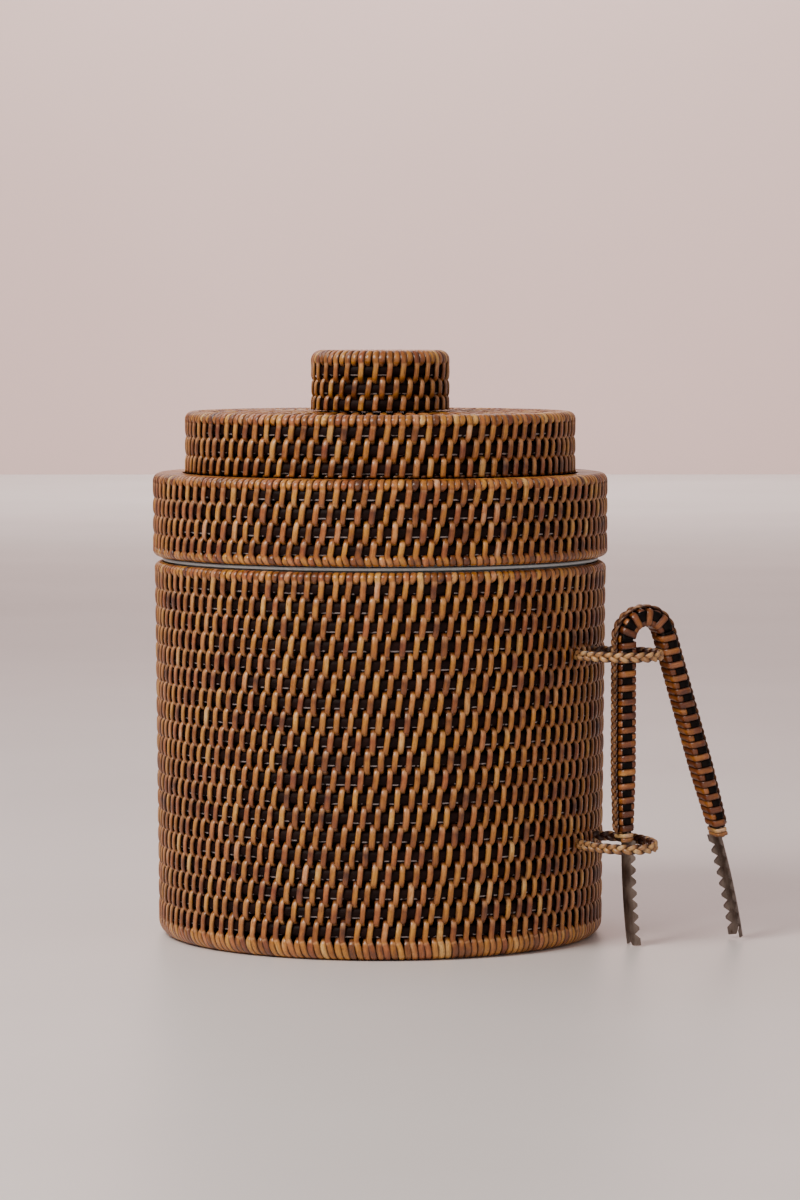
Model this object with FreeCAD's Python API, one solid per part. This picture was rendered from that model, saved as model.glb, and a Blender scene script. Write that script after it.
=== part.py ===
import FreeCAD, Part
import math
import os

# Woven rattan ice bucket: a basket, a lift-out insulated liner, a tiered lid with a
# knob, and a pair of sprung tongs that hang in two braided loops on the basket's side.
# Millimetres. The origin is the centre of the basket's foot, +Z is up, and +X points
# from the axis through the tongs' inner arm.

# Basket
BASKET_HEIGHT = 165.5
FOOT_RADIUS = 98.5
MOUTH_RADIUS = 100.0
WALL = 6.0
SKIN = 1.1
ROD_HALF_TALL = 2.45
ROD_HALF_THICK = 1.6
ROW_PITCH = 8.1
WALL_ROD_COUNT = 19
TOP_WALL_ROD = 158.1
FOOT_ROUNDING = 6.5
FOOT_BORDER_HEIGHT = 9.5
FOOT_BORDER_INNER = 86.0
FLOOR_LINING_TOP = 5.8
RIM_DEPTH = 4.6
FIT_GAP = 0.2

# Liner
FLANGE_RADIUS = 96.5
FLANGE_THICKNESS = 1.5
SEAT_GAP = 0.3
CUP_MOUTH_RADIUS = 83.0
CUP_FLOOR_RADIUS = 80.5
CUP_WALL = 1.8
CUP_FLOOR_TOP = 20.0
SHELL_MOUTH_RADIUS = 91.0
SHELL_FLOOR_RADIUS = 89.6
SHELL_WALL = 1.5
SHELL_BOTTOM = 6.8

# Lid
LID_BOTTOM = 167.6
SKIRT_RADIUS = 100.7
SHOULDER_TOP = 204.6
STEP_RADIUS = 86.5
STEP_TOP = 231.6
TIER_ROUNDING = 3.6
TIER_EDGE_DEPTH = 4.3
CORNER_ROD_RADIUS = 1.45
CORNER_ROD_INSET = 3.2
SKIRT_ROD_HEIGHTS = [197.6, 189.8, 182.0, 174.2]
STEP_ROD_HEIGHTS = [224.4, 216.3, 208.2]
KNOB_RADIUS = 30.8
KNOB_TOP = 258.5
KNOB_ROUNDING = 4.5
KNOB_ROD_HEIGHTS = [249.4, 241.3, 234.6]
PLUG_RADIUS = 81.3
PLUG_BOTTOM = 157.5
PAN_WALL = 1.5
PAN_FLANGE_RADIUS = 84.6

# Braided loops
CORD_RADIUS = 2.4
UPPER_LOOP = {"height": 127.5, "centre": (115.2, -6.0), "half": (20.3, 14.4), "yaw": -13.4, "tilt": 1.0}
LOWER_LOOP = {"height": 45.4, "centre": (113.0, -4.2), "half": (22.7, 13.4), "yaw": -28.5, "tilt": 3.0}

# Tongs, drawn in their own upright plane: X inwards from the inner arm, Y across
TONGS_RADIUS = 116.2
TONGS_YAW = 46.2
ARM_THICK = 7.6
ARM_WIDE = 11.5
ARM_ROUNDING = 2.4
WRAP = 0.9
CORE_GAP = 0.05
STRIP_THICK = 1.2
STRIP_WIDE = 9.0
BOW_RADIUS = 9.3
BOW_HEIGHT = 133.8
LEAN = 17.0
INNER_HANDLE = 87.4
OUTER_HANDLE = 93.6
BINDING_LENGTH = 3.8
BINDING_STEP = 0.4
BRAID_WIDE = 5.2
BRAID_THICK = 1.8
BLADE_LENGTH = 46.1
BLADE_CURL = 7.2
BLADE_WIDE = 12.0
BLADE_DEPTH = 3.4
BLADE_THICK = 1.0
BLADE_BACK = -0.6
TOOTH_COUNT = 8
TOOTH_DEPTH = 1.7
FORK_WIDE = 7.0
FORK_DEPTH = 6.0

ORIGIN = FreeCAD.Vector(0, 0, 0)
ALONG_X = FreeCAD.Vector(1, 0, 0)
ALONG_Y = FreeCAD.Vector(0, 1, 0)
UP = FreeCAD.Vector(0, 0, 1)


def save(name, shape):
    """Write one named node."""
    shape.exportStep("parts/" + name + ".step")


def revolved(outline):
    """Solid of revolution about the axis from (radius, height) corners."""
    corners = [FreeCAD.Vector(radius, 0, height) for radius, height in outline]
    outline_wire = Part.makePolygon(corners + corners[:1])
    return Part.Face(outline_wire).revolve(ORIGIN, UP, 360)


def rounded_rings(solid, rings, rounding):
    """Fillet the circular edges that lie at the given (radius, height) places."""
    chosen = []
    for edge in solid.Edges:
        if not isinstance(edge.Curve, Part.Circle):
            continue
        for radius, height in rings:
            same_radius = abs(edge.Curve.Radius - radius) < 0.01
            same_height = abs(edge.Curve.Center.z - height) < 0.01
            if same_radius and same_height:
                chosen.append(edge)
    return solid.makeFillet(rounding, chosen)


def oval_hoop(radius, height, half_radial, half_tall):
    """A closed hoop of oval cane, centred on the axis."""
    centre = FreeCAD.Vector(radius, 0, height)
    radial_end = centre + FreeCAD.Vector(half_radial, 0, 0)
    tall_end = centre + FreeCAD.Vector(0, 0, half_tall)
    if half_tall > half_radial:
        section = Part.Ellipse(tall_end, radial_end, centre)
    else:
        section = Part.Ellipse(radial_end, tall_end, centre)
    section_face = Part.Face(Part.Wire([section.toShape()]))
    return section_face.revolve(ORIGIN, UP, 360)


def round_hoop(radius, height, rod_radius):
    """A closed hoop of round cane, centred on the axis."""
    return Part.makeTorus(radius, rod_radius, FreeCAD.Vector(0, 0, height), UP)


def outer_radius(height):
    """The basket's outside, which widens evenly from foot to mouth."""
    return FOOT_RADIUS + (MOUTH_RADIUS - FOOT_RADIUS) * height / BASKET_HEIGHT


def sleeve(outside, thickness, low, high):
    """A thin upright sleeve; outside gives its outer radius at a height."""
    return revolved(
        [
            (outside(low), low),
            (outside(high), high),
            (outside(high) - thickness, high),
            (outside(low) - thickness, low),
        ]
    )


def straight(radius):
    """An outside that keeps one radius at every height."""
    return lambda height: radius


def basket_walls():
    """Outer strips, inner strips, and the rods that both are woven over."""
    low = FOOT_BORDER_HEIGHT + FIT_GAP
    high = BASKET_HEIGHT - RIM_DEPTH - FIT_GAP
    save("basket_outer_weave", sleeve(outer_radius, SKIN, low, high))
    inner_face = WALL - SKIN
    inner_low = FLOOR_LINING_TOP + 3 * FIT_GAP
    inner = sleeve(lambda height: outer_radius(height) - inner_face, SKIN, inner_low, high)
    save("basket_inner_weave", inner)
    rods = []
    for row in range(WALL_ROD_COUNT):
        height = TOP_WALL_ROD - row * ROW_PITCH
        radius = outer_radius(height) - WALL / 2
        rods.append(oval_hoop(radius, height, ROD_HALF_THICK, ROD_HALF_TALL))
    save("basket_wall_rods", Part.makeCompound(rods))


def basket_rim():
    """The bound top edge: strips folded over a core hoop."""
    outside = MOUTH_RADIUS
    inside = MOUTH_RADIUS - WALL
    top = BASKET_HEIGHT
    low = top - RIM_DEPTH
    outline = [
        (outside, low),
        (outside, top),
        (inside, top),
        (inside, low),
        (inside + SKIN, low),
        (inside + SKIN, top - SKIN),
        (outside - SKIN, top - SKIN),
        (outside - SKIN, low),
    ]
    wrap = revolved(outline)
    outer_rounding = WALL / 2 - 0.05
    wrap = rounded_rings(wrap, [(outside, top), (inside, top)], outer_rounding)
    inner_corners = [(outside - SKIN, top - SKIN), (inside + SKIN, top - SKIN)]
    wrap = rounded_rings(wrap, inner_corners, outer_rounding - SKIN)
    save("basket_rim_wrap", wrap)
    rod_radius = WALL / 2 - SKIN - 2 * CORE_GAP
    rod_height = top - SKIN - CORE_GAP - WALL / 2 + SKIN
    save("basket_rim_rod", round_hoop(MOUTH_RADIUS - WALL / 2, rod_height, rod_radius))


def basket_foot():
    """The rounded border under the wall, its core hoop and the woven floor."""
    outside = outer_radius(0)
    border_top = FOOT_BORDER_HEIGHT
    outline = [
        (outer_radius(border_top), border_top),
        (outside, 0),
        (FOOT_BORDER_INNER, 0),
        (FOOT_BORDER_INNER, SKIN),
        (outside - SKIN, SKIN),
        (outer_radius(border_top) - SKIN, border_top),
    ]
    border = revolved(outline)
    border = rounded_rings(border, [(outside, 0)], FOOT_ROUNDING)
    border = rounded_rings(border, [(outside - SKIN, SKIN)], FOOT_ROUNDING - SKIN)
    save("basket_base_wrap", border)
    save("basket_base_rod", round_hoop(outside - 4.2, 4.2, 2.0))
    floor_radius = FOOT_BORDER_INNER - FIT_GAP
    save("basket_floor_weave", Part.makeCylinder(floor_radius, SKIN))
    rods = []
    for ring in range(1, 11):
        rods.append(oval_hoop(ring * ROW_PITCH, 3.0, ROD_HALF_TALL, ROD_HALF_THICK))
    save("basket_floor_rods", Part.makeCompound(rods))
    lining_radius = outer_radius(0) - WALL - FIT_GAP
    lining_foot = FreeCAD.Vector(0, 0, FLOOR_LINING_TOP - SKIN + FIT_GAP)
    lining = Part.makeCylinder(lining_radius, SKIN - FIT_GAP, lining_foot)
    save("basket_floor_lining", lining)


def braided_loop(loop):
    """An oval loop of cord whose wall end is sunk into the outer strips."""
    half_long, half_short = loop["half"]
    path = Part.Ellipse(ORIGIN, half_long, half_short).toShape()
    start = FreeCAD.Vector(half_long, 0, 0)
    section = Part.Wire([Part.makeCircle(CORD_RADIUS, start, ALONG_Y)])
    loop_solid = Part.Wire([path]).makePipeShell([section], True, False)
    loop_solid.rotate(ORIGIN, UP, loop["yaw"])
    loop_solid.rotate(ORIGIN, ALONG_X, loop["tilt"])
    centre_x, centre_y = loop["centre"]
    loop_solid.translate(FreeCAD.Vector(centre_x, centre_y, loop["height"]))
    wall_radius = outer_radius(loop["height"]) - SKIN + CORE_GAP
    wall_foot = FreeCAD.Vector(0, 0, loop["height"] - 20)
    return loop_solid.cut(Part.makeCylinder(wall_radius, 40, wall_foot))


def liner():
    """The lift-out liner: a cup with a flange, a shell round it and foam between."""
    flange_low = BASKET_HEIGHT + SEAT_GAP
    flange_top = flange_low + FLANGE_THICKNESS
    cup = revolved(
        [
            (0, CUP_FLOOR_TOP - CUP_WALL),
            (CUP_FLOOR_RADIUS + CUP_WALL, CUP_FLOOR_TOP - CUP_WALL),
            (CUP_MOUTH_RADIUS + CUP_WALL, flange_low),
            (FLANGE_RADIUS, flange_low),
            (FLANGE_RADIUS, flange_top),
            (CUP_MOUTH_RADIUS, flange_top),
            (CUP_FLOOR_RADIUS, CUP_FLOOR_TOP),
            (0, CUP_FLOOR_TOP),
        ]
    )
    cup = rounded_rings(cup, [(CUP_FLOOR_RADIUS, CUP_FLOOR_TOP)], 4)
    cup = rounded_rings(cup, [(FLANGE_RADIUS, flange_top), (FLANGE_RADIUS, flange_low)], 0.7)
    save("liner_inner_cup", cup)

    shell_top = flange_low - CORE_GAP
    shell = revolved(
        [
            (0, SHELL_BOTTOM),
            (SHELL_FLOOR_RADIUS, SHELL_BOTTOM),
            (SHELL_MOUTH_RADIUS, shell_top),
            (SHELL_MOUTH_RADIUS - SHELL_WALL, shell_top),
            (SHELL_FLOOR_RADIUS - SHELL_WALL, SHELL_BOTTOM + SHELL_WALL),
            (0, SHELL_BOTTOM + SHELL_WALL),
        ]
    )
    shell = rounded_rings(shell, [(SHELL_FLOOR_RADIUS, SHELL_BOTTOM)], 1.2)
    save("liner_outer_shell", shell)

    foam_low = SHELL_BOTTOM + SHELL_WALL + FIT_GAP
    foam_floor = CUP_FLOOR_TOP - CUP_WALL - FIT_GAP
    foam = revolved(
        [
            (0, foam_low),
            (SHELL_FLOOR_RADIUS - SHELL_WALL - FIT_GAP, foam_low),
            (SHELL_MOUTH_RADIUS - SHELL_WALL - FIT_GAP, shell_top - FIT_GAP),
            (CUP_MOUTH_RADIUS + CUP_WALL + FIT_GAP, shell_top - FIT_GAP),
            (CUP_FLOOR_RADIUS + CUP_WALL + FIT_GAP, foam_floor),
            (0, foam_floor),
        ]
    )
    save("liner_insulation", foam)


def tier_edge(outside, inside, top):
    """Strips that run over a tier's rounded top edge and in across its top."""
    low = top - TIER_EDGE_DEPTH
    outline = [
        (outside, low),
        (outside, top),
        (inside, top),
        (inside, top - SKIN),
        (outside - SKIN, top - SKIN),
        (outside - SKIN, low),
    ]
    edge = revolved(outline)
    edge = rounded_rings(edge, [(outside, top)], TIER_ROUNDING)
    return rounded_rings(edge, [(outside - SKIN, top - SKIN)], TIER_ROUNDING - SKIN)


def corner_rod(outside, top):
    """The hoop that fills the corner under a tier's rounded edge."""
    drop = SKIN + CORNER_ROD_RADIUS + 2 * CORE_GAP
    return round_hoop(outside - CORNER_ROD_INSET, top - drop, CORNER_ROD_RADIUS)


def hoops(radius, heights):
    """A stack of upright oval hoops of one radius."""
    rods = [oval_hoop(radius, height, ROD_HALF_THICK, ROD_HALF_TALL) for height in heights]
    return Part.makeCompound(rods)


def flat_rods(height, first_radius, count):
    """Rings of cane lying flat under a woven top, from the outside in."""
    rods = []
    for ring in range(count):
        radius = first_radius - ring * ROW_PITCH
        rods.append(oval_hoop(radius, height, ROD_HALF_TALL, ROD_HALF_THICK))
    return Part.makeCompound(rods)


def lid_skirt():
    """The lid's lower tier: bound rim, wall of strips over rods, and shoulder."""
    inside = SKIRT_RADIUS - WALL
    rim_top = LID_BOTTOM + TIER_EDGE_DEPTH
    outline = [
        (SKIRT_RADIUS, rim_top),
        (SKIRT_RADIUS, LID_BOTTOM),
        (inside, LID_BOTTOM),
        (inside, rim_top),
        (inside + SKIN, rim_top),
        (inside + SKIN, LID_BOTTOM + SKIN),
        (SKIRT_RADIUS - SKIN, LID_BOTTOM + SKIN),
        (SKIRT_RADIUS - SKIN, rim_top),
    ]
    rim = revolved(outline)
    rim_rounding = WALL / 2 - 0.05
    rim = rounded_rings(rim, [(SKIRT_RADIUS, LID_BOTTOM), (inside, LID_BOTTOM)], rim_rounding)
    inner_corners = [(SKIRT_RADIUS - SKIN, LID_BOTTOM + SKIN), (inside + SKIN, LID_BOTTOM + SKIN)]
    rim = rounded_rings(rim, inner_corners, rim_rounding - SKIN)
    save("lid_rim_wrap", rim)
    rim_rod_height = LID_BOTTOM + SKIN + CORNER_ROD_RADIUS + 2 * CORE_GAP
    middle = SKIRT_RADIUS - WALL / 2
    save("lid_rim_rod", round_hoop(middle, rim_rod_height, CORNER_ROD_RADIUS))

    wall_low = rim_top + FIT_GAP
    wall_high = SHOULDER_TOP - TIER_EDGE_DEPTH - FIT_GAP
    save("lid_skirt_weave", sleeve(straight(SKIRT_RADIUS), SKIN, wall_low, wall_high))
    lining_high = SHOULDER_TOP - SKIN - FIT_GAP
    lining = sleeve(straight(inside + SKIN), SKIN, wall_low, lining_high)
    save("lid_skirt_lining", lining)
    save("lid_skirt_rods", hoops(middle, SKIRT_ROD_HEIGHTS))

    shoulder_inside = STEP_RADIUS - WALL
    save("lid_shoulder_weave", tier_edge(SKIRT_RADIUS, shoulder_inside, SHOULDER_TOP))
    save("lid_shoulder_rod", corner_rod(SKIRT_RADIUS, SHOULDER_TOP))


def lid_step():
    """The lid's upper tier: wall of strips over rods, and the woven top."""
    inside = STEP_RADIUS - WALL
    low = SHOULDER_TOP + FIT_GAP
    high = STEP_TOP - TIER_EDGE_DEPTH - FIT_GAP
    save("lid_step_weave", sleeve(straight(STEP_RADIUS), SKIN, low, high))
    lining_high = STEP_TOP - SKIN - FIT_GAP
    save("lid_step_lining", sleeve(straight(inside + SKIN), SKIN, low, lining_high))
    middle = STEP_RADIUS - WALL / 2
    save("lid_step_rods", hoops(middle, STEP_ROD_HEIGHTS))
    save("lid_top_weave", tier_edge(STEP_RADIUS, 0, STEP_TOP))
    save("lid_top_rod", corner_rod(STEP_RADIUS, STEP_TOP))
    top_rod_height = STEP_TOP - SKIN - ROD_HALF_THICK - FIT_GAP
    save("lid_top_rods", flat_rods(top_rod_height, STEP_RADIUS - WALL - 4, 7))


def lid_core():
    """The white pan that plugs the liner's mouth, the ring round it and the foam disc in it."""
    pan_low = BASKET_HEIGHT + SEAT_GAP + FLANGE_THICKNESS + SEAT_GAP
    pan_top = pan_low + PAN_WALL
    pan = revolved(
        [
            (0, PLUG_BOTTOM),
            (PLUG_RADIUS, PLUG_BOTTOM),
            (PLUG_RADIUS, pan_low),
            (PAN_FLANGE_RADIUS, pan_low),
            (PAN_FLANGE_RADIUS, pan_top),
            (PLUG_RADIUS - PAN_WALL, pan_top),
            (PLUG_RADIUS - PAN_WALL, PLUG_BOTTOM + PAN_WALL),
            (0, PLUG_BOTTOM + PAN_WALL),
        ]
    )
    pan = rounded_rings(pan, [(PLUG_RADIUS, PLUG_BOTTOM)], 1.2)
    save("lid_pan", pan)
    ring_foot = FreeCAD.Vector(0, 0, pan_low)
    ring = Part.makeCylinder(SKIRT_RADIUS - WALL - FIT_GAP, PAN_WALL, ring_foot)
    ring = ring.cut(Part.makeCylinder(PAN_FLANGE_RADIUS + CORE_GAP, PAN_WALL, ring_foot))
    save("lid_seat_ring", ring)
    foam_radius = PLUG_RADIUS - PAN_WALL - FIT_GAP
    foam_low = PLUG_BOTTOM + PAN_WALL + FIT_GAP
    foam_foot = FreeCAD.Vector(0, 0, foam_low)
    save("lid_insulation", Part.makeCylinder(foam_radius, pan_top - foam_low, foam_foot))


def knob():
    """The knob: a woven cap over hoops and a turned wooden core."""
    low = STEP_TOP + FIT_GAP
    cap = revolved(
        [
            (KNOB_RADIUS, low),
            (KNOB_RADIUS, KNOB_TOP),
            (0, KNOB_TOP),
            (0, KNOB_TOP - SKIN),
            (KNOB_RADIUS - SKIN, KNOB_TOP - SKIN),
            (KNOB_RADIUS - SKIN, low),
        ]
    )
    cap = rounded_rings(cap, [(KNOB_RADIUS, KNOB_TOP)], KNOB_ROUNDING)
    inner_corner = [(KNOB_RADIUS - SKIN, KNOB_TOP - SKIN)]
    cap = rounded_rings(cap, inner_corner, KNOB_ROUNDING - SKIN)
    save("knob_weave", cap)
    rod_radius = KNOB_RADIUS - SKIN - ROD_HALF_THICK - FIT_GAP
    save("knob_rods", hoops(rod_radius, KNOB_ROD_HEIGHTS))
    core_radius = rod_radius - ROD_HALF_THICK - FIT_GAP
    core_height = KNOB_TOP - SKIN - low - FIT_GAP
    core = Part.makeCylinder(core_radius, core_height, FreeCAD.Vector(0, 0, low))
    core = rounded_rings(core, [(core_radius, low + core_height)], 2)
    save("knob_core", core)


def section_face(thick, wide, rounding, offset=0.0):
    """Rounded rectangle across an arm, level, with its middle offset inwards."""
    corner = FreeCAD.Vector(offset - thick / 2, -wide / 2, 0)
    box = Part.makeBox(thick, wide, 1, corner)
    if rounding:
        uprights = [edge for edge in box.Edges if abs(edge.tangentAt(edge.FirstParameter).z) > 0.5]
        box = box.makeFillet(rounding, uprights)
    bottom = [face for face in box.Faces if face.CenterOfMass.z < 0.01]
    return bottom[0]


def tube_faces(outer, inner_size):
    """A section with a hole of the inner size."""
    thick, wide, rounding = inner_size
    return outer.cut(section_face(thick, wide, rounding))


def arm_sections():
    """The sections that run along an arm and round the bow, by sub-part."""
    outer = section_face(ARM_THICK, ARM_WIDE, ARM_ROUNDING)
    inner_size = (ARM_THICK - 2 * WRAP, ARM_WIDE - 2 * WRAP, ARM_ROUNDING - WRAP)
    core_size = [size - 2 * CORE_GAP for size in inner_size[:2]]
    core = section_face(core_size[0], core_size[1], inner_size[2])
    core = core.cut(section_face(STRIP_THICK + 2 * CORE_GAP, ARM_WIDE, 0))
    braid_middle = -(ARM_THICK + BRAID_THICK) / 2 - CORE_GAP
    bound = section_face(ARM_THICK - BINDING_STEP, ARM_WIDE - BINDING_STEP, ARM_ROUNDING)
    return {
        "strip": section_face(STRIP_THICK, STRIP_WIDE, 0),
        "core": core,
        "wrap": tube_faces(outer, inner_size),
        "braid": section_face(BRAID_THICK, BRAID_WIDE, 0.6, braid_middle),
        "binding": tube_faces(bound, inner_size),
    }


def down(face, start, length):
    """Extrude a level section downwards from a depth below the bow's end."""
    lowered = face.copy()
    lowered.translate(FreeCAD.Vector(0, 0, -start))
    return lowered.extrude(FreeCAD.Vector(0, 0, -length))


def blade(handle):
    """The serrated blade: a curled trough with teeth on both edges and a forked tip."""
    half_wide = BLADE_WIDE / 2
    radius = (half_wide**2 + BLADE_DEPTH**2) / (2 * BLADE_DEPTH)
    curl_radius = BLADE_LENGTH / math.sin(math.radians(BLADE_CURL))
    middle = FreeCAD.Vector(BLADE_BACK + radius, 0, -handle)
    trough = Part.makeCylinder(radius, 1, middle).cut(Part.makeCylinder(radius - BLADE_THICK, 1, middle))
    keep_corner = FreeCAD.Vector(BLADE_BACK - 1, -half_wide, -handle)
    trough = trough.common(Part.makeBox(BLADE_DEPTH + 1, BLADE_WIDE, 1, keep_corner))
    section = [face for face in trough.Faces if abs(face.CenterOfMass.z + handle) < 0.01]
    curl_axis = FreeCAD.Vector(curl_radius, 0, -handle)
    solid = section[0].revolve(curl_axis, ALONG_Y, -BLADE_CURL)
    pitch = BLADE_CURL / (TOOTH_COUNT + 1)
    edge = BLADE_BACK + BLADE_DEPTH
    half_gap = BLADE_LENGTH / (TOOTH_COUNT + 1) / 2
    for tooth in range(TOOTH_COUNT):
        notch = Part.makePolygon(
            [
                FreeCAD.Vector(edge - TOOTH_DEPTH, -BLADE_WIDE, -handle),
                FreeCAD.Vector(edge + 0.5, -BLADE_WIDE, -handle + half_gap),
                FreeCAD.Vector(edge + 0.5, -BLADE_WIDE, -handle - half_gap),
                FreeCAD.Vector(edge - TOOTH_DEPTH, -BLADE_WIDE, -handle),
            ]
        )
        cutter = Part.Face(notch).extrude(FreeCAD.Vector(0, 2 * BLADE_WIDE, 0))
        cutter.rotate(curl_axis, ALONG_Y, -pitch * (tooth + 1))
        solid = solid.cut(cutter)
    fork = Part.makePolygon(
        [
            FreeCAD.Vector(-BLADE_WIDE, 0, -handle + FORK_DEPTH),
            FreeCAD.Vector(-BLADE_WIDE, FORK_WIDE / 2, -handle - 1),
            FreeCAD.Vector(-BLADE_WIDE, -FORK_WIDE / 2, -handle - 1),
            FreeCAD.Vector(-BLADE_WIDE, 0, -handle + FORK_DEPTH),
        ]
    )
    fork_cutter = Part.Face(fork).extrude(FreeCAD.Vector(3 * BLADE_WIDE, 0, 0))
    fork_cutter.rotate(curl_axis, ALONG_Y, -BLADE_CURL)
    return solid.cut(fork_cutter)


def arm(handle):
    """One arm, hanging from its end of the bow, with inwards along +X."""
    sections = arm_sections()
    bound_at = handle - BINDING_LENGTH
    steel = down(sections["strip"], 0, handle + 1).fuse(blade(handle)).removeSplitter()
    return {
        "strip": steel,
        "core": down(sections["core"], CORE_GAP, handle - 2 * CORE_GAP),
        "wrap": down(sections["wrap"], CORE_GAP, bound_at - 2 * CORE_GAP),
        "braid": down(sections["braid"], CORE_GAP, bound_at - 2 * CORE_GAP),
        "binding": down(sections["binding"], bound_at, BINDING_LENGTH),
    }


def bow():
    """The spring bow that joins the arms, as the same sections turned over the top."""
    turned = {}
    axis_point = FreeCAD.Vector(BOW_RADIUS, 0, 0)
    for name, face in arm_sections().items():
        if name != "binding":
            turned[name] = face.revolve(axis_point, ALONG_Y, 180 - LEAN)
    return turned


def into_place(shape):
    """Move a tongs shape from the tongs' plane to where it hangs on the basket."""
    placed = shape.copy()
    placed.translate(FreeCAD.Vector(0, 0, BOW_HEIGHT))
    placed.rotate(ORIGIN, UP, TONGS_YAW)
    placed.translate(FreeCAD.Vector(TONGS_RADIUS, 0, 0))
    return placed


def lean_out(shape):
    """Mirror an arm and hang it, leaning outwards, from the bow's other end."""
    leaning = shape.mirror(ORIGIN, ALONG_X)
    leaning.rotate(ORIGIN, ALONG_Y, -LEAN)
    lean = math.radians(LEAN)
    end_x = BOW_RADIUS + BOW_RADIUS * math.cos(lean)
    end_z = BOW_RADIUS * math.sin(lean)
    leaning.translate(FreeCAD.Vector(end_x, 0, end_z))
    return leaning


def tongs():
    """Both arms and the bow, each as its own sub-parts."""
    for name, shape in arm(INNER_HANDLE).items():
        save("inner_arm_" + name, into_place(shape))
    for name, shape in bow().items():
        save("bow_" + name, into_place(shape))
    for name, shape in arm(OUTER_HANDLE).items():
        save("outer_arm_" + name, into_place(lean_out(shape)))


def main():
    os.makedirs("parts", exist_ok=True)
    basket_walls()
    basket_rim()
    basket_foot()
    save("upper_loop", braided_loop(UPPER_LOOP))
    save("lower_loop", braided_loop(LOWER_LOOP))
    liner()
    lid_skirt()
    lid_step()
    lid_core()
    knob()
    tongs()


main()
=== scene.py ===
import bpy
import math
import numpy as np
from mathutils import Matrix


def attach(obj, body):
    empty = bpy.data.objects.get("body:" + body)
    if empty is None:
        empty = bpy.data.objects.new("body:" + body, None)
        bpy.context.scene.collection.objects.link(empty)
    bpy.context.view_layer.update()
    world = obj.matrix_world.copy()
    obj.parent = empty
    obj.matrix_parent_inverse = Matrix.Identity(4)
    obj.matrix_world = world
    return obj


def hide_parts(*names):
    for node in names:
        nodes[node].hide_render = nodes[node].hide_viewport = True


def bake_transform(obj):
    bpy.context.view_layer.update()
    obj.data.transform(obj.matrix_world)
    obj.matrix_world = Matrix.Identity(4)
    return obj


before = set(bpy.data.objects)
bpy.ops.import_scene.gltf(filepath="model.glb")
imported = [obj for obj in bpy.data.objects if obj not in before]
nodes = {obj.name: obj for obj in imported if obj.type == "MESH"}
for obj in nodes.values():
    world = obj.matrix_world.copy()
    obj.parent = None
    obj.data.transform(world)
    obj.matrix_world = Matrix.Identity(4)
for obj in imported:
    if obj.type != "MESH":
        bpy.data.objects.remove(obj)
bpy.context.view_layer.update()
rng = np.random.default_rng(315)

# Lengths are in millimetres up to the section on the floor, lights and camera, which is in metres.
MM = 0.001
PITCH = 8.1            # height of one woven row
STRIP = 3.05           # spacing of neighbouring strips
WEAVE = 2.07           # how far a strip's middle stands off the rod's middle
THICK = 0.9            # thickness of a strip of split cane
CROWN = 0.13           # how much higher a strip's back is in its middle
LONGER = 0.42          # how much longer a strip stays outside than inside
WANDER = 0.17          # how far a strip strays sideways

# Heights of the rods that the strips go over and under, from the top down.
WALL_RODS = [158.1 - PITCH * k for k in range(19)]
SKIRT_PITCH = 7.8
SKIRT_RODS = [197.6, 189.8, 182.0, 174.2]
STEP_RODS = [224.4, 216.3, 208.2]
KNOB_RODS = [249.4, 241.3, 234.6]

# Outlines of the walls, as CAD has them.
INSET = 0.66           # from CAD's surface in to the middle of a strip
MOUTH = 94.0           # radius of the basket's mouth
RIM = 3.0              # radius of the rolled rims of the basket and the lid
RIM_Z = 162.5          # height at which the basket's rim begins to turn over
FOOT = 6.5             # radius of the basket's rounded foot
SKIRT = 100.7          # outer radius of the lid's lower tier
SKIRT_FOOT = 170.6     # height at which the lid's rim begins to turn in
STEP = 86.5            # outer radius of the upper tier
CORNER = 3.6           # radius of the tiers' top corners
KNOB = 30.8            # radius of the knob
KNOB_CORNER = 4.5      # radius of its top corner
FLOOR_Z = 3.0          # height of the middle of the woven floor
FLOOR_RINGS = [PITCH * k for k in range(10, 0, -1)]


# ------------------------ meshes
def build(name, verts, quads, caps, tone, grain):
    """A smooth mesh, from points in millimetres, with the attributes that the cane materials read.
    tone holds the strip's tint, the place along a stitch, how far outside it lies and the stitch's tint.
    grain holds the place across and along the strip, and the strip's number."""
    mesh = bpy.data.meshes.new(name)
    mesh.vertices.add(len(verts))
    mesh.vertices.foreach_set("co", (verts * MM).astype(np.float32).ravel())
    loops = [quads.ravel()]
    starts = [np.arange(len(quads)) * 4]
    used = len(quads) * 4
    if caps is not None:
        loops.append(caps.ravel())
        starts.append(used + np.arange(len(caps)) * caps.shape[1])
    loops = np.concatenate(loops).astype(np.int32)
    starts = np.concatenate(starts).astype(np.int32)
    mesh.loops.add(len(loops))
    mesh.loops.foreach_set("vertex_index", loops)
    mesh.polygons.add(len(starts))
    mesh.polygons.foreach_set("loop_start", starts)
    mesh.polygons.foreach_set("use_smooth", np.ones(len(starts), bool))
    mesh.update(calc_edges=True)
    mesh.validate()
    attribute = mesh.attributes.new("tone", "FLOAT_COLOR", "POINT")
    attribute.data.foreach_set("color", tone.astype(np.float32).ravel())
    attribute = mesh.attributes.new("grain", "FLOAT_VECTOR", "POINT")
    attribute.data.foreach_set("vector", grain.astype(np.float32).ravel())
    piece = bpy.data.objects.new(name, mesh)
    bpy.context.scene.collection.objects.link(piece)
    return piece


def unit(v):
    return v / np.maximum(np.linalg.norm(v, axis=-1, keepdims=True), 1e-9)


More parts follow.
